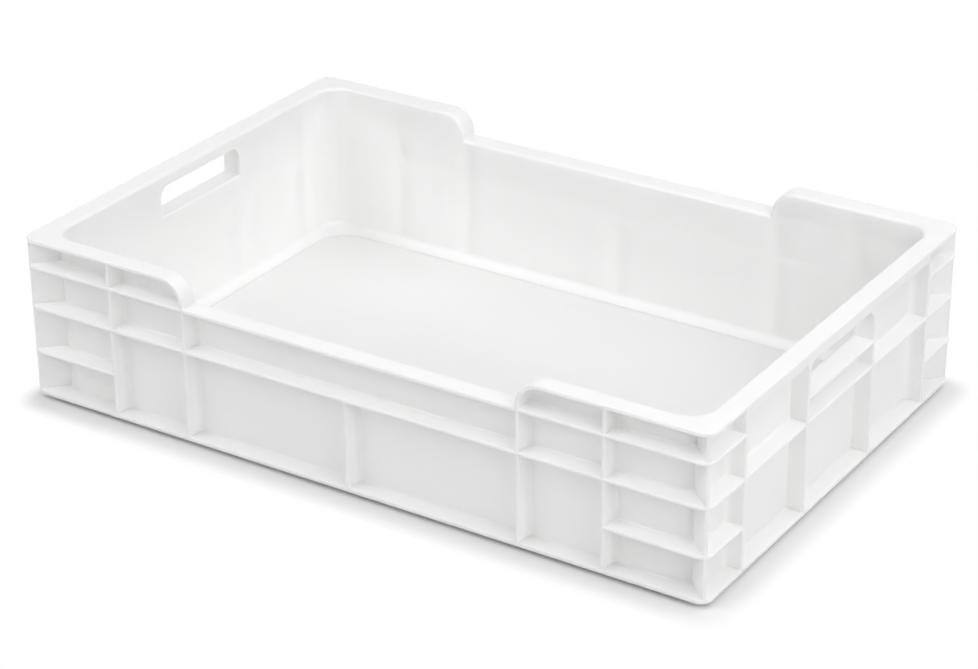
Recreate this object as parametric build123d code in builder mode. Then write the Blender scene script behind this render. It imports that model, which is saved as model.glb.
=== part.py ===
from build123d import *
from math import asin, degrees
import os

# A shallow stacking crate, a single white polyethylene moulding, drawn as the plates, ribs and webs
# that make it up. Each is a solid of its own and meets its neighbours face to face.
# Millimetres, +Z up, +X along the length. The origin is under the middle of the base.
# The front is the long side at -Y and the right end is the short side at +X.

# Outside
length = 600.0
width = 400.0
height = 137.0
outer_radius = 10.0  # rim, base flange and corner ribs, in plan

# Shell
wall = 3.0
floor_thickness = 2.5
plate = 3.0  # rim, base flange, ribs, shelves and aprons
rim_width = 17.0  # from the rim's outer edge to the inside of the wall
inner_radius = 20.0  # upright corners inside
floor_radius = 25.0  # corners of the flat floor

# Base
foot_height = 4.0  # the foot that drops into the rim of the crate below
foot_clearance = 2.0  # play between that foot and that rim
foot_lean = 2.0  # how far the foot's side leans in on its way down
curb_width = 6.0  # sloping curb between wall and floor, in plan
curb_rise = 6.0  # top of the curb above the underside of the flange

# Cut-down middle of the long sides
cut_setback = 154.5  # from the ends of the crate
cut_depth = 22.0
shoulder_radius = 20.0

# Ribs on the outside
rib_share = 0.345  # step from one level rib to the next, as a share of the height up to the cut-out
long_corner_bay = 83.0  # from the crate's end to the first upright rib of a long side
end_corner_bay = 53.0  # from the crate's long side to the first upright rib of an end
web_thickness = 3.0  # diagonal web in each corner
web_recess = 0.3  # its outer edge behind the corner ribs

# Hand holes in the ends
hole_width = 103.0
hole_height = 25.0
hole_radius = 9.0
grip_depth = 11.0  # rim and apron above the hole
apron_recess = 1.0  # apron's face behind the edge of the rim
ear_start = 2.2  # the apron's rounded corners stop this far short of a feather edge

# Heights of the faces
rim_under = height - plate
cut_top = height - cut_depth
cut_under = cut_top - plate
shoulder_arc = min(shoulder_radius, cut_depth)
shoulder_z = height - shoulder_arc
flange_top = foot_height + plate
curb_top = foot_height + curb_rise
hole_top = height - grip_depth
shelf_under = hole_top - hole_height - plate
rib_step = rib_share * (cut_top - foot_height)
lower_top = foot_height + rib_step
middle_top = lower_top + rib_step
middle_under = middle_top - plate
corner_levels = (lower_top, middle_top, cut_top)

# Places in plan, from the middle of the crate
end_x = length / 2
side_y = width / 2
inside_x = end_x - rim_width
inside_y = side_y - rim_width
panel_x = inside_x + wall
panel_y = inside_y + wall
corner_x = inside_x - inner_radius
corner_y = inside_y - inner_radius
floor_x = inside_x - curb_width
floor_y = inside_y - curb_width
foot_x = inside_x - foot_clearance
foot_y = inside_y - foot_clearance
rib_depth = rim_width - wall
panel_radius = inner_radius + wall
cut_end = end_x - cut_setback
shoulder_foot = cut_end + plate
shoulder_start = cut_end + shoulder_arc
outer_rib_place = end_x - long_corner_bay
grip_end = hole_width / 2
handle_rib_face = grip_end + plate
end_rib_place = side_y - end_corner_bay
end_bay_end = end_rib_place - plate / 2
end_bay = end_bay_end - handle_rib_face
apron_x = end_x - apron_recess - plate

# Each ring round the crate is cut into sides along the diagonals of its corners.
mitre = rim_width + curb_width + floor_radius
mitre_x = end_x - mitre
mitre_y = side_y - mitre
front_sector = ((-end_x, -side_y), (end_x, -side_y), (mitre_x, -mitre_y), (-mitre_x, -mitre_y))
right_sector = ((end_x, -side_y), (end_x, side_y), (mitre_x, mitre_y), (mitre_x, -mitre_y))

# The corner ribs run from the outermost upright ribs to the same diagonals.
long_bay_face = outer_rib_place + plate / 2
end_bay_face = end_rib_place + plate / 2
front_corner = ((long_bay_face, -side_y), (end_x, -side_y), (corner_x, -corner_y), (long_bay_face, -corner_y))
right_corner = ((end_x, -side_y), (end_x, -end_bay_face), (corner_x, -end_bay_face), (corner_x, -corner_y))

os.makedirs("parts", exist_ok=True)


def save(piece, name):
    """Names a finished piece and writes it."""
    piece.part.label = name
    export_step(piece.part, f"parts/{name}.step")


def save_both(piece, feature, side, other, about):
    """Writes a piece and its mirror image on the other side of the crate."""
    save(piece, f"{side}_{feature}")
    with BuildPart() as twin:
        mirror(piece.part, about=about, mode=Mode.REPLACE)  # solids that touch stay apart
    save(twin, f"{other}_{feature}")


def save_long_sides(piece, feature):
    """Writes the front's piece and the back's."""
    save_both(piece, feature, "front", "back", Plane.XZ)


def save_ends(piece, feature):
    """Writes the right end's piece and the left end's."""
    save_both(piece, feature, "right", "left", Plane.YZ)


def save_corners(piece, feature):
    """Writes the front right corner's piece and those of the other three corners."""
    save_both(piece, feature, "front_right", "front_left", Plane.YZ)
    with BuildPart() as back_piece:
        mirror(piece.part, about=Plane.XZ)
    save_both(back_piece, feature, "back_right", "back_left", Plane.YZ)


def outer_outline(inset=0.0):
    """The crate's outline in plan."""
    RectangleRounded(length - 2 * inset, width - 2 * inset, outer_radius)


def panel_outline(mode=Mode.ADD):
    """The outside of the walls in plan."""
    RectangleRounded(2 * panel_x, 2 * panel_y, panel_radius, mode=mode)


def inside_outline(mode=Mode.ADD):
    """The inside of the walls in plan."""
    RectangleRounded(2 * inside_x, 2 * inside_y, inner_radius, mode=mode)


def floor_outline():
    """The flat floor in plan."""
    RectangleRounded(2 * floor_x, 2 * floor_y, floor_radius)


def keep(points):
    """Keeps what lies inside a plan polygon."""
    Polygon(*points, align=None, mode=Mode.INTERSECT)


def curb_side(sector, run, run_end):
    """One side of the base: the leaning foot outside, the sloping curb inside. It is a straight run
    between two bends, which are solids of their own."""
    with BuildPart() as curb:
        with BuildSketch():
            RectangleRounded(2 * (foot_x - foot_lean), 2 * (foot_y - foot_lean), inner_radius)
        with BuildSketch(Plane.XY.offset(foot_height)):
            RectangleRounded(2 * foot_x, 2 * foot_y, inner_radius)
        loft()
        with BuildSketch(Plane.XY.offset(foot_height)):
            inside_outline()
        extrude(amount=curb_rise)
        with BuildSketch(Plane.XY.offset(floor_thickness)):
            floor_outline()
        with BuildSketch(Plane.XY.offset(curb_top)):
            inside_outline()
        loft(mode=Mode.SUBTRACT)
        with BuildSketch():
            floor_outline()
        extrude(amount=floor_thickness, mode=Mode.SUBTRACT)
        with BuildSketch():
            Polygon(*sector, align=None)
        extrude(amount=curb_top, mode=Mode.INTERSECT)
        split(bisect_by=run.offset(run_end), keep=Keep.BOTH)
        split(bisect_by=run.offset(-run_end), keep=Keep.BOTH)
    return curb


def flange_side(sector):
    """One side of the flange round the foot of the walls."""
    with BuildPart() as flange:
        with BuildSketch(Plane.XY.offset(foot_height)):
            outer_outline()
            panel_outline(Mode.SUBTRACT)
            keep(sector)
        extrude(amount=plate)
    return flange


def corner_ribs(sector, about):
    """Level ribs from an upright rib to a corner's diagonal, and the same at the other corner."""
    with BuildPart() as ribs:
        for top in corner_levels:
            with BuildSketch(Plane.XY.offset(top - plate)):
                outer_outline()
                panel_outline(Mode.SUBTRACT)
                keep(sector)
            extrude(amount=plate)
        mirror(about=about)
    return ribs


def upright_ribs(places, top):
    """Upright ribs on the front, from the flange to a height."""
    with BuildPart() as ribs:
        with BuildSketch(Plane.XY.offset(flange_top)):
            with Locations(*[(place, -side_y) for place in places]):
                Rectangle(plate, rib_depth, align=(Align.CENTER, Align.MIN))
        extrude(amount=top - flange_top)
    return ribs


# Floor and base
with BuildPart() as floor_panel:
    with BuildSketch():
        floor_outline()
    extrude(amount=floor_thickness)
save(floor_panel, "floor_panel")

save_long_sides(curb_side(front_sector, Plane.YZ, floor_x - floor_radius), "curb")
save_ends(curb_side(right_sector, Plane.XZ, floor_y - floor_radius), "curb")
save_long_sides(flange_side(front_sector), "base_flange")
save_ends(flange_side(right_sector), "base_flange")

# Long walls: low in the middle, full height beside the cut-out
with BuildPart() as long_wall_middle:
    with BuildSketch(Plane.XY.offset(foot_height)):
        with Locations((0, -panel_y)):
            Rectangle(2 * shoulder_foot, wall, align=(Align.CENTER, Align.MIN))
    extrude(amount=cut_under - foot_height)
save_long_sides(long_wall_middle, "wall_middle")

with BuildPart() as long_wall_sides:
    with BuildSketch(Plane.XZ.offset(inside_y)):
        with BuildLine():
            Polyline(
                (shoulder_foot, shoulder_z),
                (shoulder_foot, foot_height),
                (corner_x, foot_height),
                (corner_x, rim_under),
                (shoulder_start, rim_under),
            )
            CenterArc((shoulder_start, shoulder_z), shoulder_arc - plate, 90, 90)
        make_face()
    extrude(amount=wall)
    mirror(about=Plane.YZ)
save_long_sides(long_wall_sides, "wall_sides")

# End walls: plain beside the hand hole, a panel below it and a surround over it
with BuildPart() as end_wall_sides:
    with BuildSketch(Plane.YZ.offset(inside_x)):
        with Locations((handle_rib_face, foot_height)):
            Rectangle(corner_y - handle_rib_face, rim_under - foot_height, align=Align.MIN)
    extrude(amount=wall)
    mirror(about=Plane.XZ)
save_ends(end_wall_sides, "wall_sides")

with BuildPart() as end_wall_below:
    with BuildSketch(Plane.YZ.offset(inside_x)):
        with Locations((0, foot_height)):
            Rectangle(2 * handle_rib_face, shelf_under - foot_height, align=(Align.CENTER, Align.MIN))
    extrude(amount=wall)
save_ends(end_wall_below, "wall_below_handle")

with BuildPart() as hole_surround:
    with BuildSketch(Plane.YZ.offset(inside_x)):
        with Locations((0, shelf_under)):
            Rectangle(2 * handle_rib_face, rim_under - shelf_under, align=(Align.CENTER, Align.MIN))
        with BuildLine():
            FilletPolyline(
                (-grip_end, shelf_under),
                (-grip_end, hole_top),
                (grip_end, hole_top),
                (grip_end, shelf_under),
                radius=hole_radius,
            )
            Line((grip_end, shelf_under), (-grip_end, shelf_under))
        make_face(mode=Mode.SUBTRACT)
    extrude(amount=wall)
save_ends(hole_surround, "hand_hole_surround")

# Corners: the rounded wall, and the diagonal web outside it that the corner ribs cut into lengths
with BuildPart() as corner_wall:
    with BuildSketch(Plane.XY.offset(foot_height)):
        panel_outline()
        inside_outline(Mode.SUBTRACT)
        with Locations((corner_x, -corner_y)):
            Rectangle(panel_radius, panel_radius, align=(Align.MIN, Align.MAX), mode=Mode.INTERSECT)
    extrude(amount=rim_under - foot_height)
save_corners(corner_wall, "corner_wall")

web_bottoms = (flange_top, *corner_levels)
web_tops = (*[level - plate for level in corner_levels], rim_under)
with BuildPart() as corner_web:
    for bottom, top in zip(web_bottoms, web_tops):
        with BuildSketch(Plane.XY.offset(bottom)):
            outer_outline(web_recess)
            panel_outline(Mode.SUBTRACT)
            with Locations((panel_x, -panel_y)):
                Rectangle(2 * mitre, web_thickness, rotation=-45, mode=Mode.INTERSECT)
        extrude(amount=top - bottom)
save_corners(corner_web, "corner_web")

# Rim: flat round the top, down the shoulders and along the cut-outs
with BuildPart() as end_rim:
    with BuildSketch(Plane.XY.offset(rim_under)):
        outer_outline()
        inside_outline(Mode.SUBTRACT)
        keep(right_sector)
    extrude(amount=plate)
save_ends(end_rim, "rim")

with BuildPart() as long_rim:
    with BuildSketch(Plane.XY.offset(rim_under)):
        outer_outline()
        inside_outline(Mode.SUBTRACT)
        keep(front_sector)
        with Locations((0, -side_y)):
            Rectangle(2 * shoulder_start, rim_width, align=(Align.CENTER, Align.MIN), mode=Mode.SUBTRACT)
    extrude(amount=plate)
save_long_sides(long_rim, "rim")

with BuildPart() as shoulders:
    with BuildSketch(Plane.XZ.offset(inside_y)):
        with BuildLine():
            CenterArc((shoulder_start, shoulder_z), shoulder_arc, 90, 90)
            Polyline(
                (cut_end, shoulder_z),
                (cut_end, cut_under),
                (shoulder_foot, cut_under),
                (shoulder_foot, shoulder_z),
            )
            CenterArc((shoulder_start, shoulder_z), shoulder_arc - plate, 90, 90)
            Line((shoulder_start, rim_under), (shoulder_start, height))
        make_face()
    extrude(amount=rim_width)
    mirror(about=Plane.YZ)
save_long_sides(shoulders, "shoulders")

with BuildPart() as cut_rim:
    with BuildSketch(Plane.XY.offset(cut_under)):
        with Locations((0, -side_y)):
            Rectangle(2 * cut_end, rim_width, align=(Align.CENTER, Align.MIN))
    extrude(amount=plate)
save_long_sides(cut_rim, "cut_out_rim")

# Ribs on the long sides
shoulder_rib_place = cut_end + plate / 2
save_long_sides(upright_ribs((-outer_rib_place, outer_rib_place), rim_under), "outer_ribs")
save_long_sides(upright_ribs((-shoulder_rib_place, shoulder_rib_place), cut_under), "shoulder_ribs")
save_long_sides(upright_ribs((0,), middle_under), "centre_rib")
save_long_sides(corner_ribs(front_corner, Plane.YZ), "corner_ribs")

with BuildPart() as bay_ribs:
    for top in (middle_top, cut_top):
        with BuildSketch(Plane.XY.offset(top - plate)):
            with Locations((shoulder_foot, -side_y)):
                Rectangle(outer_rib_place - plate / 2 - shoulder_foot, rib_depth, align=Align.MIN)
        extrude(amount=plate)
    mirror(about=Plane.YZ)
save_long_sides(bay_ribs, "bay_ribs")

with BuildPart() as long_rib:
    with BuildSketch(Plane.XY.offset(middle_under)):
        with Locations((0, -side_y)):
            Rectangle(2 * cut_end, rib_depth, align=(Align.CENTER, Align.MIN))
    extrude(amount=plate)
save_long_sides(long_rib, "long_rib")

# Ribs on the ends
save_ends(corner_ribs(right_corner, Plane.XZ), "corner_ribs")

with BuildPart() as end_outer_ribs:
    with BuildSketch(Plane.XY.offset(flange_top)):
        with Locations((panel_x, -end_rib_place), (panel_x, end_rib_place)):
            Rectangle(rib_depth, plate, align=(Align.MIN, Align.CENTER))
    extrude(amount=rim_under - flange_top)
save_ends(end_outer_ribs, "outer_ribs")

with BuildPart() as end_cross_ribs:
    with BuildSketch(Plane.XY.offset(middle_under)):
        with Locations((panel_x, -grip_end)):
            Rectangle(rib_depth, hole_width, align=Align.MIN)
        with Locations((panel_x, handle_rib_face), (panel_x, -end_bay_end)):
            Rectangle(rib_depth, end_bay, align=Align.MIN)
    extrude(amount=plate)
save_ends(end_cross_ribs, "cross_ribs")

# Hand holes: the ribs beside them pass behind the apron, and a shelf runs out under the hole
with BuildPart() as handle_ribs:
    with BuildSketch(Plane.XY.offset(flange_top)):
        with Locations((panel_x, grip_end)):
            Rectangle(rib_depth, plate, align=Align.MIN)
    extrude(amount=hole_top - flange_top)
    with BuildSketch(Plane.XY.offset(hole_top)):
        with Locations((panel_x, grip_end)):
            Rectangle(apron_x - panel_x, plate, align=Align.MIN)
    extrude(amount=rim_under - hole_top)
    mirror(about=Plane.XZ)
save_ends(handle_ribs, "handle_ribs")

with BuildPart() as handle_shelf:
    with BuildSketch(Plane.XY.offset(shelf_under)):
        with Locations((inside_x, 0)):
            Rectangle(rim_width, hole_width, align=(Align.MIN, Align.CENTER))
    extrude(amount=plate)
save_ends(handle_shelf, "handle_shelf")

ear_centre = (grip_end - hole_radius, hole_top - hole_radius)
ear_angle = degrees(asin(ear_start / hole_radius))
with BuildPart() as apron:
    with BuildSketch(Plane.YZ.offset(apron_x)):
        with Locations((0, hole_top)):
            Rectangle(2 * end_bay_end, rim_under - hole_top, align=(Align.CENTER, Align.MIN))
        with BuildLine():
            corner_arc = CenterArc(ear_centre, hole_radius, ear_angle, 90 - ear_angle)
            ear_tip = corner_arc @ 0
            Polyline(ear_tip, (grip_end, ear_tip.Y), (grip_end, hole_top), corner_arc @ 1)
        ear = make_face()
        mirror(ear, about=Plane.YZ)
    extrude(amount=plate)
save_ends(apron, "apron")
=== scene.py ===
from math import cos, pi, radians, sin
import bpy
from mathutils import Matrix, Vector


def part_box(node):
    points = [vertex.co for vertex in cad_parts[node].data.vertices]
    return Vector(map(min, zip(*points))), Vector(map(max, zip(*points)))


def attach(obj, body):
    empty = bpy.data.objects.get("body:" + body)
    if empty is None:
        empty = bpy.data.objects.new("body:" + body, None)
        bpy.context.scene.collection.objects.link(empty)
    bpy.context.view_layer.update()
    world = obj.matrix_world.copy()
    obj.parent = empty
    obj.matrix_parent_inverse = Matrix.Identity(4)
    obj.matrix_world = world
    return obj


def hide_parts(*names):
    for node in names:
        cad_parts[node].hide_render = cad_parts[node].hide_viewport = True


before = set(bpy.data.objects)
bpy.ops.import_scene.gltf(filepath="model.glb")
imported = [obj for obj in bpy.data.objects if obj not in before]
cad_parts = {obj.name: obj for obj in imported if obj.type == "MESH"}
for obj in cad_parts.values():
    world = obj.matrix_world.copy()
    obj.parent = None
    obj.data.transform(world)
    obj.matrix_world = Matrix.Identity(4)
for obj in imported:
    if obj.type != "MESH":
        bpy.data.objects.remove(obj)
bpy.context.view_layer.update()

from types import SimpleNamespace

import bmesh
import bpy
import numpy as np
from bpy.props import FloatProperty, PointerProperty, StringProperty
from mathutils import Matrix, Vector

bl_info = {
    "name": "White stacking crate",
    "version": (1, 0, 0),
    "blender": (4, 5, 0),
    "location": "3D View > Sidebar > Crate",
    "description": "Builds a white plastic stacking crate and a studio round it",
    "category": "Add Mesh",
}

X, Y, Z = range(3)
SIDES = ("front", "back", "right", "left")
CORNERS = ("front_right", "front_left", "back_right", "back_left")

# Steps along curves
EDGE_STEPS = 4
RIM_STEPS = 5
WEB_STEPS = 5
CURB_FILLET_STEPS = 6
FAN_STEPS = 6
CORNER_STEPS = 8
APRON_STEPS = 10
CURB_STEPS = 12
SHOULDER_STEPS = 14
FLOOR_STEPS = 96

# Small lengths in millimetres that several shapes share
RIB_ROOT = 1.5  # where ribs start inside a wall, from the wall's inside
EMBED = 1.5  # how far uprights, webs and aprons run into the plates above and below them
LAP = 1.0  # how far aprons and shelves run into the uprights beside them
CORNER_PLACES = np.array([4.0, 7.0, 10.0, 13.0, 16.0, 23.0])  # rays near a corner, back from its centre
HOLE_PLACES = np.array([14.0, 30.0])  # rays over the straight part of a hand hole, from the middle

# Signs that mirror a shape from the back right quarter into all four
ALL_CORNERS = ((1, 1, 1), (-1, 1, 1), (-1, -1, 1), (1, -1, 1))


def low(node, axis):
    """Lowest place of a CAD node along an axis, in metres."""
    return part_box(node)[0][axis]


def high(node, axis):
    """Highest place of a CAD node along an axis, in metres."""
    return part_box(node)[1][axis]


def size(name, description, default):
    """A length that a user can change."""
    return FloatProperty(
        name=name, description=description, default=default, min=0, precision=4, unit="LENGTH")


def offset(name, description, default):
    """A length that a user can change and that may point either way."""
    return FloatProperty(name=name, description=description, default=default, precision=4, unit="LENGTH")


def share(name, description, default):
    """A plain number that a user can change."""
    return FloatProperty(name=name, description=description, default=default, min=0)


def angle(name, description, degrees):
    """An angle that a user can change."""
    return FloatProperty(name=name, description=description, default=radians(degrees), subtype="ANGLE")


def shade(name, description, default):
    """A colour that a user can change, as an sRGB hex value."""
    return StringProperty(name=name, description=description, default=default)


def power(name, description, default):
    """A lamp's power that a user can change."""
    return FloatProperty(name=name, description=description, default=default, min=0, unit="POWER")


class CrateSizes(bpy.types.PropertyGroup):
    """Sizes of the crate. The defaults are where the CAD nodes lie."""

    half_length: size("Half length", "Middle to the outside of an end", high("right_rim", X))
    half_width: size("Half width", "Middle to the outside of a long side", high("back_rim", Y))
    top: size("Top", "Height of the rim's top", high("right_rim", Z))
    rim_under: size("Rim underside", "Height of the rim's underside", low("right_rim", Z))
    inside_x: size("Inside of the ends", "Middle to the inside of an end wall", low("right_handle_shelf", X))
    inside_y: size("Inside of the sides", "Middle to the inside of a long wall", low("back_wall_middle", Y))
    wall: size("Wall", "Thickness of the walls", high("back_wall_middle", Y) - low("back_wall_middle", Y))
    inside_radius: size("Inside corner", "Corner radius inside the walls", 0.020)
    outer_radius: size("Outer corner", "Corner radius of rim, flange and ribs", 0.010)
    cut_top: size("Cut-out height", "Height of the rim along the cut-outs", high("back_cut_out_rim", Z))
    cut_half: size("Half cut-out", "Middle to the foot of a shoulder", high("back_cut_out_rim", X))
    shoulder_start: size("Shoulder start", "Middle to the start of a shoulder", high("back_shoulders", X))
    flange_under: size("Flange underside", "Height of the flange's underside", low("right_base_flange", Z))
    flange_top: size("Flange top", "Height of the base flange's top", high("right_base_flange", Z))
    floor_top: size("Floor", "Height of the floor's top", high("floor_panel", Z))
    floor_x: size("Half floor length", "Middle to the end of the flat floor", high("floor_panel", X))
    floor_radius: size("Floor corner", "Corner radius of the flat floor", 0.025)
    curb_top: size("Curb", "Height of the curb's top at the wall", high("right_curb", Z))
    foot_play: size("Foot play", "Foot's top behind the inside of the wall", 0.002)
    foot_lean: size("Foot lean", "How far the foot leans in on its way down", 0.002)
    hole_half: size("Half hand hole", "Middle to the end of a hand hole", high("right_handle_shelf", Y))
    hole_top: size("Hand hole top", "Height of a hand hole's top", 0.126)
    hole_radius: size("Hand hole corner", "Radius of a hand hole's upper corners", 0.009)
    shelf_top: size("Shelf top", "Height of the shelf under a hand hole", high("right_handle_shelf", Z))
    shelf_under: size("Shelf underside", "Height of that shelf's underside", low("right_handle_shelf", Z))
    apron_face: size("Apron face", "Middle to the face of an apron", high("right_apron", X))
    apron_half: size("Half apron", "Middle to the end of an apron", high("right_apron", Y))
    lower_rib: size("Lower rib", "Height of the lower level rib's underside", low("back_corner_ribs", Z))
    middle_rib: size("Middle rib", "Height of the middle level rib's underside", low("back_long_rib", Z))
    upper_rib: size("Upper rib", "Height of the upper level rib's underside", low("back_cut_out_rim", Z))
    plate: size(
        "Plate", "Thickness of ribs and shelves", high("back_long_rib", Z) - low("back_long_rib", Z))
    long_rib_far: size("Outer upright, long side", "Its outer face", high("back_outer_ribs", X))
    shoulder_rib: size("Shoulder upright", "Its outer face", high("back_shoulder_ribs", X))
    end_rib_far: size("Outer upright, end", "Its outer face", high("right_outer_ribs", Y))
    handle_rib: size("Upright beside a hand hole", "Its outer face", high("right_handle_ribs", Y))
    web: size("Corner web", "Thickness of the diagonal corner webs", 0.003)
    web_recess: size("Web recess", "Web's outer edge behind the corner ribs", 0.0003)


class CrateFinish(bpy.types.PropertyGroup):
    """Roundings that the mould leaves, and the plastic's looks."""

    rim_rounding: size("Rim's inner rounding", "Radius between the walls' inside and the rim's top", 0.0030)
    rim_edge: size("Rim's edge", "Radius along the rim's outer upper edge", 0.0007)
    rib_edge: size("Rib edge", "Radius along the edges of the ribs", 0.0011)
    flange_edge: size("Flange edge", "Radius along the edges of the base flange", 0.0005)
    root: size("Root fillet", "Fillet where a level rib, the rim or the flange meets a wall", 0.0022)
    upright_root: size("Upright root", "Fillet where an upright rib meets a wall", 0.0052)
    web_root: size("Web root", "Fillet where a corner web meets the wall", 0.0010)
    curb_fillet: size("Curb fillet", "Fillet where the curb meets the wall", 0.0028)
    curb_bulge: share("Curb bulge", "Curb's section, from straight 0 to elliptic 1", 0.25)
    sink: size("Fillet sink", "How deep a fillet's end lies inside the wall that it runs into", 0.00015)
    hole_edge: size("Hand hole edge", "Rounding of a hand hole's inner edge", 0.0010)
    upright_set: size("Upright set-back", "Uprights' faces behind the faces of the level ribs", 0.0002)
    plastic: shade("Plastic", "Colour of the crate", "#FAFAF9")
    plastic_shade: shade("Plastic, deeper", "Colour where the plastic looks a little deeper", "#F8F8F7")
    scatter: size("Scatter", "How far light wanders inside the plastic", 0.0035)
    glow: share("Glow", "Share of light that passes straight through an upright face", 0.15)
    speck: shade("Speck", "Colour of the odd speck in the plastic", "#D6D3CC")


class CrateStudio(bpy.types.PropertyGroup):
    """Camera, lamps and floor."""

    azimuth: angle("Azimuth", "Camera's bearing", 32.798)
    elevation: angle("Elevation", "Camera's height", 26.543)
    roll: angle("Roll", "Camera's tilt to one side", -0.375)
    distance: size("Distance", "Camera to the crate", 2.2173)
    aim_right: offset("Aim right", "Aim beside the base's middle", -0.0033)
    aim_up: offset("Aim up", "Aim above the base's middle", 0.0397)
    lens: FloatProperty(name="Lens", description="Focal length", default=103.58, unit="CAMERA")
    ambient: share("Ambient", "Level of the white room round the crate", 0.03)
    front: power("Front lamp", "Power of the large lamp above the front left corner", 28.5)
    back: power("Back lamp", "Power of the large lamp above the back right corner", 25.0)
    right: power("Right lamp", "Power of the large lamp to the right", 28.0)
    low: power("Low lamp", "Power of the small lamp low behind the back left corner", 15.0)
    lamp_width: size("Lamp width", "Width of each large lamp", 2.2)
    low_width: size("Low lamp width", "Width of the small lamp", 1.0)
    lamp_distance: size("Lamp distance", "From the crate to each lamp", 2.4)
    floor_colour: shade("Floor", "Colour of the floor", "#F2F2F2")
    shadow_reach: size("Shadow reach", "How far from the crate the floor shows its shadow", 0.020)
    shadow_shift: size("Shadow shift", "How much farther it reaches to the right and to the front", 0.006)


def millimetres(group):
    """The values of a property group, its lengths in millimetres."""
    known = group.bl_rna.properties
    values = {name: getattr(group, name) for name in type(group).__annotations__}
    return {name: v * 1000 if known[name].unit == "LENGTH" else v for name, v in values.items()}


def crate():
    """Sizes and roundings of the crate in millimetres, with the few lengths that follow from them."""
    scene = bpy.context.scene
    s = SimpleNamespace(**millimetres(scene.crate_sizes), **millimetres(scene.crate_finish))
    s.corner_x = s.inside_x - s.inside_radius
    s.corner_y = s.inside_y - s.inside_radius
    s.rim_width = s.half_length - s.inside_x
    return s


# Shapes

def arc(start, stop, steps):
    """Cosine and sine of evenly spaced angles, given in degrees."""
    a = np.radians(np.linspace(start, stop, steps + 1))
    return np.cos(a), np.sin(a)


def quarter_rays(s, end_y, side_x):
    """Rays that run outwards over the back right quarter of the plan, anticlockwise: ones along x from
    the line x = corner_x at the places end_y, then a fan about the inside corner's centre, then ones
    along y at the places side_x. The fan's angles divide the outer corner's arc evenly, so that its
    rounding stays smooth."""
    c, n = arc(0, 90, CORNER_STEPS)
    across = s.half_length - s.outer_radius - s.corner_x + s.outer_radius * c
    along = s.half_width - s.outer_radius - s.corner_y + s.outer_radius * n
    outer = np.arctan2(along, across)
    before = np.linspace(0, outer[0], FAN_STEPS + 1)[:-1]
    after = np.linspace(outer[-1], pi / 2, FAN_STEPS + 1)[1:]
    fan = np.concatenate([before, outer, after])
    base = np.concatenate([
        np.column_stack([np.full(len(end_y), s.corner_x), end_y]),
        np.tile((s.corner_x, s.corner_y), (len(fan), 1)),
        np.column_stack([side_x, np.full(len(side_x), s.corner_y)]),
    ])
    way = np.concatenate([
        np.tile((1.0, 0.0), (len(end_y), 1)),
        np.column_stack([np.cos(fan), np.sin(fan)]),
        np.tile((0.0, 1.0), (len(side_x), 1)),
    ])
    return base, way


def outline(rays, half_x, half_y, radius):
    """Where the rays meet a rounded rectangle: on its end or side where they reach it short of the
    corner, otherwise on the corner's circle, at t = -m.d + sqrt((m.d)^2 - m.m + r^2) along a ray d
    whose start lies m from the circle's centre."""
    base, way = rays
    with np.errstate(divide="ignore", invalid="ignore"):
        to_end, to_side = ((half_x, half_y) - base).T / way.T
        on_end = base[:, 1] + to_end * way[:, 1] <= half_y - radius
        on_side = base[:, 0] + to_side * way[:, 0] <= half_x - radius
    m = base - (half_x - radius, half_y - radius)
    across = (m * way).sum(1)
    to_circle = np.sqrt(np.maximum(across**2 - (m * m).sum(1) + radius**2, 0)) - across
    t = np.where(on_end, to_end, np.where(on_side, to_side, to_circle))
    return base + t[:, None] * way


def ring(s, rays, out, z):
    """A line round the quarter at a distance out from the inside of the walls, at height z. Near the
    walls its corner is concentric with theirs, and near the rim's edge with the outer corner."""
    near = out < s.rim_width / 2
    radius = s.inside_radius + out if near else s.outer_radius - s.rim_width + out
    flat = outline(rays, s.inside_x + out, s.inside_y + out, radius)
    return np.column_stack([flat, np.broadcast_to(z, len(flat))])


def around(quarter):
    """The whole way round from the back right quarter, given as (places, points, 3): the quarter, then
    its images in the other three, alternately backwards, so that they follow on from each other
    anticlockwise."""
    return np.concatenate([(quarter * f)[::1 if f[0] * f[1] > 0 else -1] for f in ALL_CORNERS])


def rib_section(s, root, tip, half, fillet):
    """A rib's section as (out, across) points: it starts inside the wall at root, leaves the wall's
    face with a concave fillet, runs out at half its thickness, and turns over rounded edges to its
    tip."""
    c, n = arc(0, 90, EDGE_STEPS)
    edge = s.rib_edge
    flare = np.column_stack([s.wall - s.sink + fillet * (1 - n), half + fillet * (1 - c)])[::-1]
    turn = np.column_stack([tip - edge + edge * n, half - edge + edge * c])
    upper = np.concatenate([[(root, half + fillet)], flare[1:], turn])
    return np.concatenate([upper, (upper * (1, -1))[::-1]])


def loft(rings, closed_path=False):
    """Skin over (places, points, 3) rings of the same count: four-sided faces between neighbouring
    points of neighbouring rings, with the rings closed. An open path gets a flat cap at each end. A
    skin is its points, its four-sided faces and its caps."""
    places, points = rings.shape[:2]
    index = np.arange(places * points).reshape(places, points)
    here = index if closed_path else index[:-1]
    there = np.roll(index, -1, axis=0)[: len(here)]
    quads = np.stack([here, there, np.roll(there, -1, axis=1), np.roll(here, -1, axis=1)], axis=-1)
    caps = [] if closed_path else [index[0], index[-1]]
    return rings.reshape(-1, 3), quads.reshape(-1, 4), caps


def images(skin, flips):
    """A skin's mirror images, as a list of skins."""
    verts, quads, caps = skin
    return [(verts * np.array(flip, float), quads, caps) for flip in flips]


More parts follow.
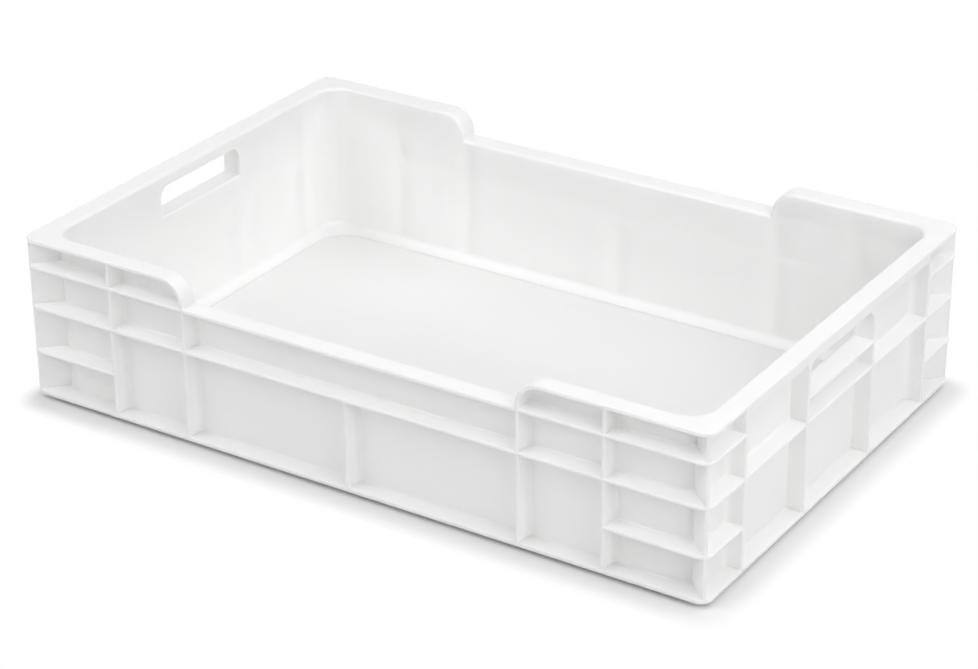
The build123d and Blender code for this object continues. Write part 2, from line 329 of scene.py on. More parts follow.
def round_marked_edges(obj, marked):
    """Rounds the edges of an object whose two points are both marked, by a live bevel."""
    mesh = obj.data
    ends = np.zeros(len(mesh.edges) * 2, dtype=np.int32)
    mesh.edges.foreach_get("vertices", ends)
    weight = marked[ends.reshape(-1, 2)].all(1).astype(np.float32)
    mesh.attributes.new("bevel_weight_edge", "FLOAT", "EDGE").data.foreach_set("value", weight)
    bevel = obj.modifiers.new("hole_edges", "BEVEL")
    bevel.limit_method = "WEIGHT"
    bevel.segments = 3
    bevel.width = bpy.context.scene.crate_finish.hole_edge


def make_piece(name, skins, nodes, bevel_marks=None):
    """Puts skins in millimetres into one mesh object, turns its faces outwards, smooths all but its
    sharp edges, and has it ride on the crate's body in place of the CAD nodes. bevel_marks marks the
    points of edges to be rounded."""
    sharp_angle = radians(32)
    starts = np.cumsum([0] + [len(verts) for verts, _, _ in skins])
    verts = np.concatenate([verts for verts, _, _ in skins]) / 1000
    quads = np.concatenate([quads + start for (_, quads, _), start in zip(skins, starts)])
    caps = [cap + start for (_, _, caps), start in zip(skins, starts) for cap in caps]
    mesh = bpy.data.meshes.new(name)
    mesh.from_pydata(verts.tolist(), [], quads.tolist() + [cap.tolist() for cap in caps])
    work = bmesh.new()
    work.from_mesh(mesh)
    bmesh.ops.recalc_face_normals(work, faces=work.faces)
    work.to_mesh(mesh)
    work.free()
    mesh.shade_smooth()
    mesh.set_sharp_from_angle(angle=sharp_angle)
    obj = bpy.data.objects.new(name, mesh)
    bpy.context.scene.collection.objects.link(obj)
    if bevel_marks is not None:
        round_marked_edges(obj, bevel_marks)
    weighted = obj.modifiers.new("flat_faces_stay_flat", "WEIGHTED_NORMAL")
    weighted.keep_sharp = True
    mesh.materials.append(moulded_plastic())
    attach(obj, "root")
    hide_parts(*nodes)
    return obj


# Materials

def linear(hex_colour):
    """An sRGB hex value as linear RGBA."""
    srgb = np.array([int(hex_colour[i:i + 2], 16) for i in (1, 3, 5)]) / 255
    rgb = np.where(srgb <= 0.04045, srgb / 12.92, ((srgb + 0.055) / 1.055) ** 2.4)
    return (*rgb.tolist(), 1.0)


def add_node(tree, kind, inputs=None, **settings):
    """Adds a node with its settings. An input is a value, or a socket of another node to link from."""
    node = tree.nodes.new(kind)
    for name, value in settings.items():
        setattr(node, name, value)
    for name, value in (inputs or {}).items():
        if isinstance(value, bpy.types.NodeSocket):
            tree.links.new(value, node.inputs[name])
        else:
            node.inputs[name].default_value = value
    return node


def empty_material(name):
    """A new material with an empty node tree, and that tree."""
    material = bpy.data.materials.new(name)
    material.use_nodes = True
    material.node_tree.nodes.clear()
    return material, material.node_tree


def moulded_plastic():
    """Injection moulded high-density polyethylene, white and satin. The eye sees soft wide highlights,
    faint sinks and waves scattered at random, light that leaks through the thin walls, and now and then a
    speck."""
    name = "moulded_white_polyethylene"
    if name in bpy.data.materials:
        return bpy.data.materials[name]
    finish = bpy.context.scene.crate_finish
    material, tree = empty_material(name)
    coordinates = add_node(tree, "ShaderNodeTexCoord")
    place = coordinates.outputs["Object"]

    # Clouds of tone some 70 mm wide.
    clouds = add_node(tree, "ShaderNodeTexNoise", {
        "Vector": place, "Scale": 1 / 0.070, "Detail": 2.0, "Roughness": 0.5})
    tone = add_node(tree, "ShaderNodeValToRGB", {"Fac": clouds.outputs["Fac"]})
    deeper, lighter = tone.color_ramp.elements
    deeper.position, deeper.color = 0.35, linear(finish.plastic_shade)
    lighter.position, lighter.color = 0.65, linear(finish.plastic)

    # Specks about a millimetre wide, at the heart of cells of 55 mm. Most cells' hearts miss the thin walls.
    cells = add_node(tree, "ShaderNodeTexVoronoi", {"Vector": place, "Scale": 1 / 0.055, "Randomness": 1.0})
    dot = add_node(tree, "ShaderNodeMapRange", {
        "Value": cells.outputs["Distance"], "From Min": 0.006, "From Max": 0.014,
        "To Min": 0.8, "To Max": 0.0})
    colour = add_node(tree, "ShaderNodeMix", {
        "Factor": dot.outputs["Result"], "A": tone.outputs["Color"], "B": linear(finish.speck)},
        data_type="RGBA")

    # Sinks and waves about 30 mm wide, a third of a millimetre deep at most.
    sinks = add_node(tree, "ShaderNodeTexNoise", {"Vector": place, "Scale": 1 / 0.030, "Detail": 1.0})
    waves = add_node(tree, "ShaderNodeBump", {
        "Height": sinks.outputs["Fac"], "Strength": 1.0, "Distance": 0.00035})
    # The mould's spark-eroded grain is about 0.1 mm; it is drawn at 0.9 mm so that it shows at all.
    grain = add_node(tree, "ShaderNodeTexNoise", {"Vector": place, "Scale": 1 / 0.0009, "Detail": 1.0})
    relief = add_node(tree, "ShaderNodeBump", {
        "Height": grain.outputs["Fac"], "Strength": 0.5, "Distance": 0.00002,
        "Normal": waves.outputs["Normal"]})

    rough = add_node(tree, "ShaderNodeMapRange", {
        "Value": clouds.outputs["Fac"], "To Min": 0.36, "To Max": 0.48})
    shader = add_node(tree, "ShaderNodeBsdfPrincipled", {
        "Base Color": colour.outputs["Result"], "Roughness": rough.outputs["Result"], "IOR": 1.54,
        "Subsurface Weight": 1.0, "Subsurface Radius": (1.0, 1.0, 1.0), "Subsurface Scale": finish.scatter,
        "Normal": relief.outputs["Normal"]})

    # Upright faces also let some light straight through, so that rib shadows show inside the walls.
    leak = add_node(tree, "ShaderNodeBsdfTranslucent", {"Color": (1, 1, 1, 1)})
    facing = add_node(tree, "ShaderNodeSeparateXYZ", {"Vector": coordinates.outputs["Normal"]})
    level = add_node(tree, "ShaderNodeMath", {0: facing.outputs["Z"]}, operation="ABSOLUTE")
    thin = add_node(tree, "ShaderNodeMapRange", {
        "Value": level.outputs["Value"], "From Min": 0.1, "From Max": 0.5,
        "To Min": finish.glow, "To Max": 0.0})
    skin = add_node(tree, "ShaderNodeMixShader", {
        0: thin.outputs["Result"], 1: shader.outputs["BSDF"], 2: leak.outputs["BSDF"]})
    # Ribs and walls are one moulding, so light that has got inside a rib goes on into the wall behind it.
    inside = add_node(tree, "ShaderNodeNewGeometry").outputs["Backfacing"]
    body = add_node(tree, "ShaderNodeMixShader", {
        0: inside, 1: skin.outputs["Shader"], 2: leak.outputs["BSDF"]})
    add_node(tree, "ShaderNodeOutputMaterial", {"Surface": body.outputs["Shader"]})
    return material


def seen_directly(tree):
    """A socket that is 1 for what the camera, a reflection or a refraction sees, and 0 for light
    scattered inside plastic."""
    path = add_node(tree, "ShaderNodeLightPath").outputs
    refracted = add_node(tree, "ShaderNodeMath", {
        0: path["Is Transmission Ray"], 1: path["Is Diffuse Ray"]}, operation="SUBTRACT")
    mirrored = add_node(tree, "ShaderNodeMath", {
        0: path["Is Glossy Ray"], 1: refracted.outputs["Value"]}, operation="MAXIMUM")
    any_of = add_node(tree, "ShaderNodeMath", {
        0: path["Is Camera Ray"], 1: mirrored.outputs["Value"]}, operation="MAXIMUM")
    return any_of.outputs["Value"]


def studio_floor():
    """Matt off-white seamless paper. It lights the crate from below as paper does, and holds the
    crate's shadow close round its foot, a little farther to the right and the front than elsewhere.
    Beyond that, where the camera, a reflection or a refraction sees it, it is plain white like a lit
    table."""
    sizes = bpy.context.scene.crate_sizes
    studio = bpy.context.scene.crate_studio
    material, tree = empty_material("matt_white_paper")
    place = add_node(tree, "ShaderNodeTexCoord").outputs["Object"]

    # Paper fibres about 0.6 mm long.
    fibres = add_node(tree, "ShaderNodeTexNoise", {"Vector": place, "Scale": 1 / 0.0006, "Detail": 2.0})
    relief = add_node(tree, "ShaderNodeBump", {
        "Height": fibres.outputs["Fac"], "Strength": 0.1, "Distance": 0.00005})
    paper = add_node(tree, "ShaderNodeBsdfDiffuse", {
        "Color": linear(studio.floor_colour), "Normal": relief.outputs["Normal"]})

    # Distance from the crate's shifted outline: from the middles of its rounded corners, less their radius.
    radius = sizes.outer_radius
    corner = (sizes.half_length - radius, sizes.half_width - radius, 1.0)
    shift = (studio.shadow_shift, -studio.shadow_shift, 0)
    moved = add_node(tree, "ShaderNodeVectorMath", {0: place, 1: shift}, operation="SUBTRACT")
    mirrored = add_node(tree, "ShaderNodeVectorMath", {0: moved.outputs[0]}, operation="ABSOLUTE")
    beyond = add_node(tree, "ShaderNodeVectorMath", {
        0: mirrored.outputs[0], 1: corner}, operation="SUBTRACT")
    outside = add_node(tree, "ShaderNodeVectorMath", {
        0: beyond.outputs[0], 1: (0, 0, 0)}, operation="MAXIMUM")
    reach = add_node(tree, "ShaderNodeVectorMath", {0: outside.outputs[0]}, operation="LENGTH")
    clear = add_node(tree, "ShaderNodeMapRange", {
        "Value": reach.outputs["Value"], "From Min": radius, "From Max": radius + studio.shadow_reach},
        interpolation_type="SMOOTHSTEP")
    white = add_node(tree, "ShaderNodeEmission", {"Color": (1, 1, 1, 1), "Strength": 1.0})
    part = add_node(tree, "ShaderNodeMath", {
        0: clear.outputs["Result"], 1: seen_directly(tree)}, operation="MULTIPLY")
    both = add_node(tree, "ShaderNodeMixShader", {
        0: part.outputs["Value"], 1: paper.outputs["BSDF"], 2: white.outputs["Emission"]})
    add_node(tree, "ShaderNodeOutputMaterial", {"Surface": both.outputs["Shader"]})
    return material


# Pieces

def level_stretch(places, z):
    """A level stretch of the rim's top line, as rows of x, z and the outward normal in x and z."""
    x = np.array(places, float)
    return np.stack([x, np.full_like(x, z), np.zeros_like(x), np.ones_like(x)])


def top_line(s):
    """The rim's top line over the places of the walls' rays along a long side, from the corner to the
    middle, as five arrays: the place at the foot of the wall, then x and z on the line, then its
    outward normal in x and z. The line is level at full height, falls round a shoulder's arc, drops,
    turns through a small fillet and runs level along the cut-out."""
    drop_fillet = 1.0
    bay_place = 215.0
    before_shoulder = 12.0
    after_drop = 8.0
    near_middle = 12.0
    first_under_shoulder = 3.0
    gap_at_drop = 0.7

    fall = s.shoulder_start - s.cut_half
    c, n = arc(90, 180, SHOULDER_STEPS)
    shoulder = np.stack([s.shoulder_start + fall * c, s.top - fall + fall * n, c, n])
    f = drop_fillet
    c, n = arc(0, -90, EDGE_STEPS)
    fillet = np.stack([s.cut_half - f + f * c, s.cut_top + f + f * n, -c, -n])
    full = level_stretch(
        [*(s.corner_x - CORNER_PLACES), bay_place, s.shoulder_start + before_shoulder], s.top)
    cut = level_stretch([s.cut_half - after_drop, s.cut_half / 2, near_middle], s.cut_top)
    drop = s.cut_half + s.wall + s.root
    under_shoulder = np.linspace(
        s.shoulder_start + first_under_shoulder, drop + gap_at_drop, shoulder.shape[1])
    under_fillet = np.linspace(drop, s.cut_half - f, fillet.shape[1])
    foot = np.concatenate([full[0], under_shoulder, under_fillet, cut[0]])
    return foot, *np.concatenate([full, shoulder, fillet, cut], axis=1)


def curb_section(s):
    """The curb's section from the flat floor to the wall, as distances in from the wall and heights
    above the floor: a blend of a straight slope and a quarter ellipse, then a quadratic curve that
    turns up into the wall."""
    width = s.inside_x - s.floor_x
    rise = s.curb_top - s.floor_top
    f = s.curb_fillet
    c, n = arc(0, 90, CURB_STEPS)
    inset = width * c
    climb = rise * ((1 - s.curb_bulge) * (1 - c) + s.curb_bulge * n)
    start = np.interp(f, inset[::-1], climb[::-1])
    t = np.linspace(0, 1, CURB_FILLET_STEPS + 1)
    turn = (1 - t) ** 2 * start + 2 * t * (1 - t) * rise + t**2 * (rise + f)
    below = inset > f
    return np.concatenate([inset[below], f * (1 - t) ** 2]), np.concatenate([climb[below], turn])


def shell(s):
    """Floor, curb, walls, rim, base flange and foot as one skin, a section carried round the crate. The
    section starts at the edge of the flat floor, goes up the bulging curb and through a curved fillet
    to the wall, up the inside to the rim's rounded inner edge, over the top, round the outer edge, back
    under the rim to a fillet at the wall, down the outside, out and round the flange, and in to the
    leaning foot. The part near the rim hangs below the rim's top line along that line's normal, so it
    follows the shoulders. Cells of the inside and the outside are left out for the hand holes, and
    strips join the two sides there. A flat face closes the floor and another the underside. The second
    result marks the points of the holes' inner edges."""
    end_places = [75.0, 110.0]
    line_share = 0.48
    floor_inset = 1.0
    rim_lower_edge = 0.6
    foot_edge = 1.5

    c, n = arc(0, 90, CORNER_STEPS)
    hole_corner = s.hole_half - s.hole_radius + s.hole_radius * n
    near_corner = s.corner_y - CORNER_PLACES[::-1]
    end_y = np.concatenate([HOLE_PLACES, hole_corner, end_places, near_corner])
    foot, line_x, line_z, normal_x, normal_z = top_line(s)
    rays = quarter_rays(s, end_y, foot)
    count = len(rays[0])
    plain = count - len(foot)

    def after_corner(values, fill):
        """Values along the long side, with a plain fill before them along the end and round the
        corner."""
        return np.concatenate([np.full(plain, fill), values])

    shift = after_corner(line_x - foot, 0.0)
    line_z = after_corner(line_z, s.top)
    normal_x = after_corner(normal_x, 0.0)
    normal_z = after_corner(normal_z, 1.0)

    def hung(out, depth):
        """The line at a distance out from the inside and a depth below the rim's top line."""
        line = ring(s, rays, out, line_z - depth * normal_z)
        line[:, 0] += shift - depth * normal_x
        return line

    def wall_line(out, z, part):
        """The line on a wall's face at height z, with a part of the top line's shift along the side."""
        line = ring(s, rays, out, z)
        line[:, 0] += (shift - (s.wall + s.root) * normal_x) * part
        return line

    def base_line(inset, z, radius):
        """A line inside the inside of the walls, with a corner of its own."""
        flat = outline(rays, s.inside_x - inset, s.inside_y - inset, radius)
        return np.column_stack([flat, np.full(len(flat), z)])

    # Upper line of the hand hole's cells: over the hole it is the hole's top with its rounded corners.
    first = len(HOLE_PLACES)
    last = first + len(c)
    in_hole = np.arange(count) < last
    under = line_z - (s.wall + s.root) * normal_z
    over = s.shelf_top + (under - s.shelf_top) * line_share
    over[:first] = s.hole_top
    over[first:last] = s.hole_top - s.hole_radius + s.hole_radius * c
    over[last:plain] = s.hole_top - s.hole_radius

    # Floor's edge, curb and the fillet at the wall.
    width = s.inside_x - s.floor_x
    spread = (s.floor_radius - s.inside_radius) / width
    rows = [base_line(width + floor_inset, s.floor_top, s.floor_radius)]
    rows += [base_line(i, s.floor_top + h, s.inside_radius + spread * i) for i, h in zip(*curb_section(s))]

    # Inside of the wall, rim, and the fillet under the rim.
    inner_shelf = len(rows)
    rows += [wall_line(0, s.shelf_top, 0), wall_line(0, over, 0.5)]
    r, e, w, plate = s.rim_rounding, s.rim_edge, s.rim_width, s.top - s.rim_under
    rows += [hung(r * (1 - a), r * (1 - b)) for a, b in zip(*arc(0, 90, RIM_STEPS))]
    c, n = arc(0, 90, EDGE_STEPS)
    rows += [hung(w - e + e * b, e * (1 - a)) for a, b in zip(c, n)]
    e = rim_lower_edge
    rows += [hung(w - e + e * a, plate - e + e * b) for a, b in zip(c, n)]
    f = s.root
    rows += [hung(s.wall + f * (1 - b), plate + f * (1 - a)) for a, b in zip(c, n)]
    outer_over = len(rows)
    rows += [wall_line(s.wall, over, 0.5), wall_line(s.wall, s.shelf_top, 0)]

    # Flange and foot.
    rows += [wall_line(s.wall + f * (1 - a), s.flange_top + f * (1 - b), 0) for a, b in zip(c, n)]
    e = s.flange_edge
    rows += [wall_line(w - e + e * b, s.flange_top - e + e * a, 0) for a, b in zip(c, n)]
    rows += [wall_line(w - e + e * a, s.flange_under + e - e * b, 0) for a, b in zip(c, n)]
    rows.append(base_line(s.foot_play, s.flange_under, s.inside_radius))
    e = foot_edge
    lean = s.foot_play + s.foot_lean * (1 - e / s.flange_under)
    rows += [base_line(lean + e * (1 - a), e * (1 - b), s.inside_radius) for a, b in zip(c, n)]

    rings = around(np.stack(rows, axis=1))
    verts, quads, _ = loft(rings, closed_path=True)
    places, points = rings.shape[:2]
    index = np.arange(places * points).reshape(places, points)
    following = np.roll(index, -1, axis=0)
    hole = np.concatenate([in_hole, in_hole[::-1], in_hole, in_hole[::-1]])
    cell = hole & np.roll(hole, -1)
    keep = np.ones((places, points), dtype=bool)
    keep[:, -1] = False
    keep[np.ix_(cell, [inner_shelf, outer_over])] = False
    strips = [
        np.stack([index[:, inner], following[:, inner], following[:, outer], index[:, outer]], axis=-1)[cell]
        for inner, outer in ((inner_shelf + 1, outer_over), (inner_shelf, outer_over + 1))
    ]
    hole_ends = index[hole & (np.roll(hole, 1) ^ np.roll(hole, -1))]
    jambs = hole_ends[:, [inner_shelf, inner_shelf + 1, outer_over, outer_over + 1]]
    quads = np.concatenate([quads[keep.ravel()], *strips, jambs])
    inner_edge = np.zeros((places, points), dtype=bool)
    inner_edge[np.ix_(hole, [inner_shelf, inner_shelf + 1])] = True
    return (verts, quads, [index[:, 0], index[:, -1]]), inner_edge.ravel()


def level_rib(s, rays, under):
    """A level rib's section carried along the walls over the rays, as (places, points, 3)."""
    half = s.plate / 2
    section = rib_section(s, RIB_ROOT, s.rim_width, half, s.root)
    return np.stack([ring(s, rays, out, under + half + across) for out, across in section], axis=1)


def level_ring(s, under):
    """A level rib all the way round: the back right quarter and its images."""
    end_y = np.array([14.0, 80.0, 130.0])
    side_x = np.array([240.0, 120.0, 14.0])
    return loft(around(level_rib(s, quarter_rays(s, end_y, side_x), under)), closed_path=True)


def corner_band(s, under, end_y, side_x):
    """A level rib round the back right corner, from an upright of the end to one of the long side."""
    before_corner = 6.0
    after_corner = 8.0
    rays = quarter_rays(
        s, np.array([end_y, s.corner_y - before_corner]), np.array([s.corner_x - after_corner, side_x]))
    return loft(level_rib(s, rays, under))


def upright(s, place, along_y, heights, tips, fillet):
    """An upright rib on the back or the right end: a rib's section at each height, with the tip as far
    out as tips says, carried up a straight path. place is where its middle lies along the wall."""
    rings = []
    for z, tip in zip(heights, tips):
        out, across = rib_section(s, RIB_ROOT, tip, s.plate / 2, fillet).T
        flat = [place + across, s.inside_y + out] if along_y else [s.inside_x + out, place + across]
        rings.append(np.column_stack([*flat, np.full(len(out), z)]))
    return loft(np.stack(rings))


def corner_web(s):
    """The diagonal web of the back right corner: a rib on the diagonal whose outer edge follows the
    corner's circle a little behind the ribs. In plan, across the diagonal at a place v, the edge lies
    at q + sqrt(r^2 - v^2), where q is the distance of the circle's centre along the diagonal. The
    section is carried up from flange to rim."""
    edge = 0.6
    depth_in_wall = 2.0
    half = s.web / 2
    radius = s.outer_radius - s.web_recess
    middle = np.hypot(s.half_length - s.outer_radius - s.corner_x, s.half_width - s.outer_radius - s.corner_y)
    touch = s.inside_radius + s.wall - s.sink
    f = s.web_root
    away = np.sqrt((touch + f)**2 - (half + f)**2)
    a, b = arc(180 + np.degrees(np.arctan2(half + f, away)), 270, WEB_STEPS)
    flare = np.column_stack([away + f * a, half + f + f * b])
    v = np.linspace(half - edge, 0, WEB_STEPS + 1)
    bow = np.column_stack([middle + np.sqrt(radius**2 - v**2), v])
    c, n = arc(0, 90, EDGE_STEPS)
    turn = np.column_stack([bow[0, 0] - edge + edge * n, half - edge + edge * c])
    upper = np.concatenate([[flare[0] * (1 - depth_in_wall / touch)], flare, turn[:-1], bow])
    out, across = np.concatenate([upper, (upper[:-1] * (1, -1))[::-1]]).T
    h = np.sqrt(0.5)
    flat = np.column_stack([s.corner_x + h * (out + across), s.corner_y + h * (out - across)])
    heights = (s.flange_top - EMBED, s.rim_under + EMBED)
    return loft(np.stack([np.column_stack([flat, np.full(len(flat), z)]) for z in heights]))


def apron(s):
    """The apron under the right end's rim: a plate whose lower edge follows the hand hole's top and its
    rounded corners, and past the upright at each end rises again in a quarter circle. Its section has
    rounded lower edges and is carried along the end."""
    ear_radius = 3.5
    step = 0.2
    proud = 0.2
    c, n = arc(0, 90, APRON_STEPS)
    ear = s.hole_half - s.hole_radius + s.hole_radius * n
    drop = s.hole_top - s.hole_radius + s.hole_radius * c
    far = s.handle_rib + ear_radius * (1 - n[::-1])
    rise = s.hole_top - ear_radius * (1 - c[::-1])
    beside = [s.hole_half + LAP, s.hole_half + LAP + step]
    y = np.concatenate([[0.0], ear, beside, far, [s.apron_half + LAP]])
    z = np.concatenate([[s.hole_top], drop, [drop[-1], rise[0]], rise, [s.hole_top]])
    y = np.concatenate([-y[:0:-1], y])
    z = np.concatenate([z[:0:-1], z])
    e = s.rib_edge
    c, n = arc(0, 90, EDGE_STEPS)
    back = s.apron_face - s.plate
    face = s.apron_face + proud
    x = np.concatenate([[back], back + e * (1 - c), face - e + e * n, [face]])
    lift = np.concatenate([[0.0], e * (1 - n), e * (1 - c), [0.0]])
    top = np.zeros(len(x), dtype=bool)
    top[[0, -1]] = True
    height = np.where(top, s.rim_under + EMBED, z[:, None] + lift)
    across, along = np.broadcast_to(x, height.shape), np.broadcast_to(y[:, None], height.shape)
    return loft(np.stack([across, along, height], axis=-1))


def handle_shelf(s):
    """The shelf under the right end's hand hole: a level rib's section from the wall outwards, carried
    from one upright to the other, its top a tenth of a millimetre below the hole's edge."""
    root = 1.0
    set_back = 0.1
    half = (s.shelf_top - s.shelf_under) / 2 - set_back / 2
    out, across = rib_section(s, root, s.rim_width - set_back, half, s.root).T
    height = s.shelf_under + half + np.minimum(across, half)
    ends = (-s.hole_half - LAP, s.hole_half + LAP)
    return loft(np.stack([np.column_stack([s.inside_x + out, np.full(len(out), y), height]) for y in ends]))


class CRATE_OT_shell(bpy.types.Operator):
    """Floor, walls, rim and base flange, with the cut-outs and the hand holes"""

    bl_idname = "crate.shell"
    bl_label = "Shell"

    def execute(self, context):
        skin, inner_edge = shell(crate())
        nodes = ["floor_panel"] + [f"{corner}_corner_wall" for corner in CORNERS]
        nodes += [f"{side}_{kind}" for side in SIDES for kind in ("curb", "base_flange", "wall_sides", "rim")]
        nodes += [f"{side}_{kind}" for side in ("front", "back")
                  for kind in ("wall_middle", "shoulders", "cut_out_rim")]
        nodes += [f"{side}_{kind}" for side in ("right", "left")
                  for kind in ("wall_below_handle", "hand_hole_surround")]
        make_piece("crate_shell", [skin], nodes, inner_edge)
        return {"FINISHED"}


class CRATE_OT_level_ribs(bpy.types.Operator):
    """Level ribs: one all the way round, and two that run round each corner"""

    bl_idname = "crate.level_ribs"
    bl_label = "Level ribs"

    def execute(self, context):
        s = crate()
        nodes = [f"{side}_corner_ribs" for side in SIDES]
        middle = [f"{side}_{kind}" for side in ("front", "back") for kind in ("bay_ribs", "long_rib")]
        middle += [f"{side}_cross_ribs" for side in ("right", "left")]
        make_piece("middle_level_rib", [level_ring(s, s.middle_rib)], middle)
        half = s.plate / 2
        upper = corner_band(s, s.upper_rib, s.end_rib_far - half, s.shoulder_rib - half)
        lower = corner_band(s, s.lower_rib, s.end_rib_far - half, s.long_rib_far - half)
        make_piece("upper_corner_ribs", images(upper, ALL_CORNERS), nodes)
        make_piece("lower_corner_ribs", images(lower, ALL_CORNERS), nodes)
        return {"FINISHED"}


class CRATE_OT_long_side_ribs(bpy.types.Operator):
    """Upright ribs of the two long sides"""

    bl_idname = "crate.long_side_ribs"
    bl_label = "Upright ribs, long sides"

    def execute(self, context):
        s = crate()
        below_low_rim = 1.0
        half = s.plate / 2
        foot = s.flange_top - EMBED
        tips = [s.rim_width - s.upright_set] * 2
        tall = upright(s, s.long_rib_far - half, True, (foot, s.rim_under + EMBED), tips, s.upright_root)
        shoulder_heights = (foot, s.cut_top - below_low_rim)
        shoulder = upright(s, s.shoulder_rib - half, True, shoulder_heights, tips, s.upright_root)
        centre = upright(s, 0.0, True, (foot, s.middle_rib + EMBED), tips, s.upright_root)
        for side, flip in (("back", 1), ("front", -1)):
            pair = ((1, flip, 1), (-1, flip, 1))
            ribs = images(tall, pair) + images(shoulder, pair) + images(centre, pair[:1])
            nodes = [f"{side}_{kind}" for kind in ("outer_ribs", "shoulder_ribs", "centre_rib")]
            make_piece(f"{side}_upright_ribs", ribs, nodes)
        return {"FINISHED"}


class CRATE_OT_end_ribs(bpy.types.Operator):
    """Upright ribs of the two ends. Those beside a hand hole run in behind the apron"""

    bl_idname = "crate.end_ribs"
    bl_label = "Upright ribs, ends"

    def execute(self, context):
        s = crate()
        set_back = 0.1
        handle_root = 0.5
        turn_start, turn_end = 4.0, 2.0
        half = s.plate / 2
        foot, top = s.flange_top - EMBED, s.rim_under + EMBED
        tip = s.rim_width - s.upright_set
        behind = s.apron_face - s.inside_x - set_back
        tall = upright(s, s.end_rib_far - half, False, (foot, top), (tip, tip), s.upright_root)
        heights = (foot, s.hole_top - s.hole_radius - turn_start, s.hole_top - turn_end, top)
        tips = (tip, tip, behind, behind)
        handle = upright(s, s.handle_rib - half + set_back, False, heights, tips, handle_root)
        for side, flip in (("right", 1), ("left", -1)):
            pair = ((flip, 1, 1), (flip, -1, 1))
            ribs = images(tall, pair) + images(handle, pair)
            make_piece(f"{side}_upright_ribs", ribs, [f"{side}_outer_ribs", f"{side}_handle_ribs"])
        return {"FINISHED"}


class CRATE_OT_corner_webs(bpy.types.Operator):
    """Diagonal webs behind the ribs of the four corners"""

    bl_idname = "crate.corner_webs"
    bl_label = "Corner webs"

    def execute(self, context):
        web = corner_web(crate())
        for corner in CORNERS:
            flip = (1 if "right" in corner else -1, 1 if "back" in corner else -1, 1)
            make_piece(f"{corner}_web", images(web, [flip]), [f"{corner}_corner_web"])
        return {"FINISHED"}


class CRATE_OT_handles(bpy.types.Operator):
    """Apron and shelf of the hand hole in each end"""

    bl_idname = "crate.handles"
    bl_label = "Aprons and shelves"

    def execute(self, context):
        s = crate()
        plate, shelf = apron(s), handle_shelf(s)
        for side, flip in (("right", 1), ("left", -1)):
            make_piece(f"{side}_grip_apron", images(plate, [(flip, 1, 1)]), [f"{side}_apron"])
            make_piece(f"{side}_grip_shelf", images(shelf, [(flip, 1, 1)]), [f"{side}_handle_shelf"])
        return {"FINISHED"}


# Studio

def back_of(bearing, height):
    """The way from the crate to something at a height above the ground and a bearing from the front,
    anticlockwise seen from above."""
    return Vector((sin(bearing) * cos(height), -cos(bearing) * cos(height), sin(height)))


def add_floor(scene):
    """A round sheet of paper a hair's breadth below the crate's foot."""
    radius = 3.0
    gap = 0.0003
    c, n = arc(0, 360, FLOOR_STEPS)
    verts = np.column_stack([radius * c[:-1], radius * n[:-1], np.full(FLOOR_STEPS, -gap)])
    mesh = bpy.data.meshes.new("paper_floor")
    mesh.from_pydata(verts.tolist(), [], [list(range(FLOOR_STEPS))])
    mesh.materials.append(studio_floor())
    floor = bpy.data.objects.new("paper_floor", mesh)
    scene.collection.objects.link(floor)


def add_room(scene):
    """A room that lights the crate faintly and looks white where it is seen directly."""
    world = bpy.data.worlds.new("white_room")
    world.use_nodes = True
    tree = world.node_tree
    tree.nodes.clear()
    light = add_node(tree, "ShaderNodeBackground", {
        "Color": (1, 1, 1, 1), "Strength": scene.crate_studio.ambient})
    white = add_node(tree, "ShaderNodeBackground", {"Color": (1, 1, 1, 1), "Strength": 1.0})
    seen = add_node(tree, "ShaderNodeMixShader", {
        0: seen_directly(tree), 1: light.outputs["Background"], 2: white.outputs["Background"]})
    add_node(tree, "ShaderNodeOutputWorld", {"Surface": seen.outputs["Shader"]})
    scene.world = world


def add_lamps(scene):
    """Round lamps that face the crate's middle, each at a bearing and a height in degrees."""
    studio = scene.crate_studio
    middle = Vector((0, 0, scene.crate_sizes.top / 2))
    for name, watts, bearing, height, width in (
        ("front_lamp", studio.front, 326, 46, studio.lamp_width),
        ("back_lamp", studio.back, 135, 62, studio.lamp_width),
        ("right_lamp", studio.right, 68, 35, studio.lamp_width),
        ("low_lamp", studio.low, 226, 13, studio.low_width),
    ):
        lamp = bpy.data.lights.new(name, "AREA")
        lamp.energy = watts
        lamp.shape = "DISK"
        lamp.size = width
        obj = bpy.data.objects.new(name, lamp)
        scene.collection.objects.link(obj)
        # The low lamp shines through the walls. Mirrored in the rim it would only glare.
        obj.visible_glossy = name != "low_lamp"
        back = back_of(radians(bearing), radians(height))
        obj.location = middle + back * studio.lamp_distance
        obj.rotation_mode = "QUATERNION"
        obj.rotation_quaternion = back.to_track_quat("Z", "Y")


def add_camera(scene):
    """The camera, turned about its own axis by the roll and aimed near the middle of the flange's
    underside."""
    studio = scene.crate_studio
    back = back_of(studio.azimuth, studio.elevation)
    right = Vector((cos(studio.azimuth), sin(studio.azimuth), 0))
    up = back.cross(right)
    rolled_right = cos(studio.roll) * right + sin(studio.roll) * up
    rolled_up = cos(studio.roll) * up - sin(studio.roll) * right
    camera = bpy.data.cameras.new("camera")
    camera.lens = studio.lens
    camera.sensor_width = 36.0
    camera.sensor_fit = "HORIZONTAL"
    camera.clip_start = 0.05
    camera.clip_end = 50.0
    obj = bpy.data.objects.new("camera", camera)
    scene.collection.objects.link(obj)
    aim = Vector((0, 0, scene.crate_sizes.flange_under))
    place = aim + studio.aim_right * rolled_right + studio.aim_up * rolled_up + studio.distance * back
    axes = Matrix((rolled_right, rolled_up, back)).transposed()
    obj.matrix_world = Matrix.Translation(place) @ axes.to_4x4()
    scene.camera = obj


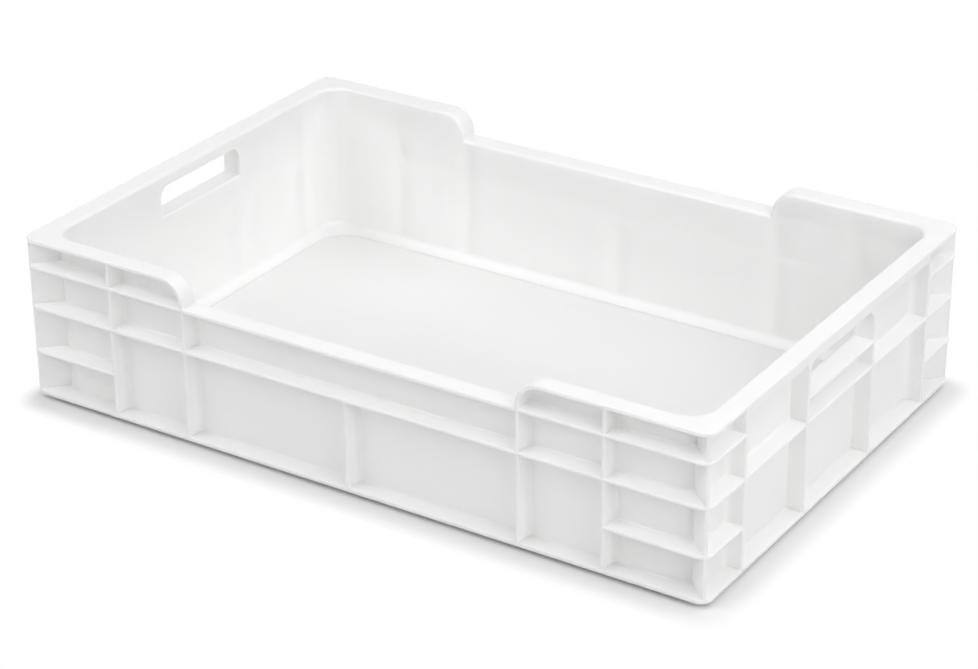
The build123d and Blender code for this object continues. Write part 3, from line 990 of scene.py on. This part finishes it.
class CRATE_OT_studio(bpy.types.Operator):
    """White floor, white room, lamps and camera"""

    bl_idname = "crate.studio"
    bl_label = "Studio"

    def execute(self, context):
        scene = context.scene
        scene.view_settings.view_transform = "Standard"
        add_floor(scene)
        add_room(scene)
        add_lamps(scene)
        add_camera(scene)
        return {"FINISHED"}


class CRATE_PT_panel(bpy.types.Panel):
    """Sidebar panel with the crate's sizes, finish and studio, and a button for each group of pieces"""

    bl_label = "Stacking crate"
    bl_idname = "CRATE_PT_panel"
    bl_space_type = "VIEW_3D"
    bl_region_type = "UI"
    bl_category = "Crate"

    def draw(self, context):
        scene = context.scene
        titles = {"Sizes": scene.crate_sizes, "Finish": scene.crate_finish, "Studio": scene.crate_studio}
        for title, group in titles.items():
            box = self.layout.box()
            box.label(text=title)
            for name in type(group).__annotations__:
                box.prop(group, name)
        for operator in OPERATORS:
            self.layout.operator(operator.bl_idname)


GROUPS = {"crate_sizes": CrateSizes, "crate_finish": CrateFinish, "crate_studio": CrateStudio}
OPERATORS = (
    CRATE_OT_shell, CRATE_OT_level_ribs, CRATE_OT_long_side_ribs, CRATE_OT_end_ribs,
    CRATE_OT_corner_webs, CRATE_OT_handles, CRATE_OT_studio,
)
CLASSES = (*GROUPS.values(), *OPERATORS, CRATE_PT_panel)


def register():
    """Registers the classes and gives every scene its three groups of values."""
    for cls in CLASSES:
        bpy.utils.register_class(cls)
    for name, group in GROUPS.items():
        setattr(bpy.types.Scene, name, PointerProperty(type=group))


def unregister():
    """Takes back what register did."""
    for name in GROUPS:
        delattr(bpy.types.Scene, name)
    for cls in reversed(CLASSES):
        bpy.utils.unregister_class(cls)


def main():
    """Registers the add-on and makes every piece and the studio."""
    register()
    bpy.ops.crate.shell()
    bpy.ops.crate.level_ribs()
    bpy.ops.crate.long_side_ribs()
    bpy.ops.crate.end_ribs()
    bpy.ops.crate.corner_webs()
    bpy.ops.crate.handles()
    bpy.ops.crate.studio()


if __name__ == "__main__":
    main()
